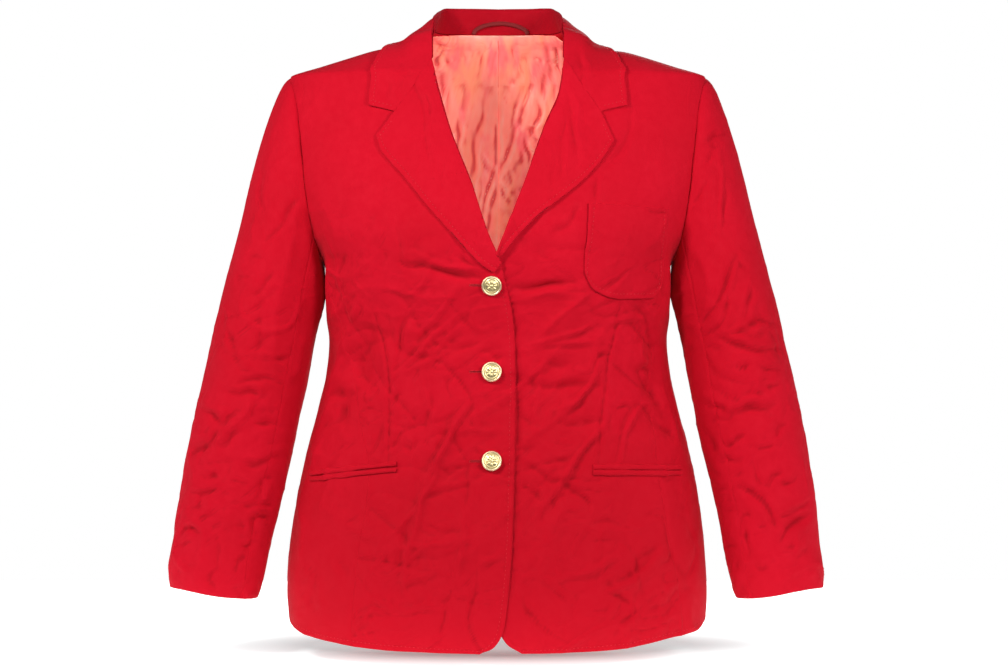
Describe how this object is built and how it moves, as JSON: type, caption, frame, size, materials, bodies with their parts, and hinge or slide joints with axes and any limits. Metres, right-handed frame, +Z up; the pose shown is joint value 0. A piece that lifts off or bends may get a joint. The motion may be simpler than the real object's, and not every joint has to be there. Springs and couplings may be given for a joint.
{
  "type": "blazer",
  "caption": "Single-breasted notch-lapel blazer held open as if worn, with long set-in sleeves, patch breast pocket, jetted hip pockets and metal buttons.",
  "frame": {"origin": "on the centre plane at the height of the shoulder points, in the empty space that the wearer fills, where the wearer holds it", "axes": "+Z up to the collar, -Y to the buttoned front, +X to the wearer's left"},
  "size_m": [0.7346, 0.2705, 0.7136],
  "materials": {
    "red_suiting": "matt woven suiting",
    "coral_satin": "soft shot satin",
    "gold_metal": "satin gold",
    "dark_braid": "matt braid"
  },
  "bodies": {
    "root": {"right_front": "red_suiting", "left_front": "red_suiting", "right_side_panel": "red_suiting", "left_side_panel": "red_suiting", "right_back": "red_suiting", "left_back": "red_suiting", "right_top_sleeve": "red_suiting", "right_under_sleeve": "red_suiting", "left_top_sleeve": "red_suiting", "left_under_sleeve": "red_suiting", "right_lapel": "red_suiting", "left_lapel": "red_suiting", "collar_stand": "red_suiting", "collar_leaf": "red_suiting", "breast_pocket": "red_suiting", "right_upper_welt": "red_suiting", "right_lower_welt": "red_suiting", "left_upper_welt": "red_suiting", "left_lower_welt": "red_suiting", "right_back_lining": "coral_satin", "left_back_lining": "coral_satin", "button_top": "gold_metal", "button_middle": "gold_metal", "button_bottom": "gold_metal", "hanger_loop": "dark_braid"}
  },
  "joints": []
}
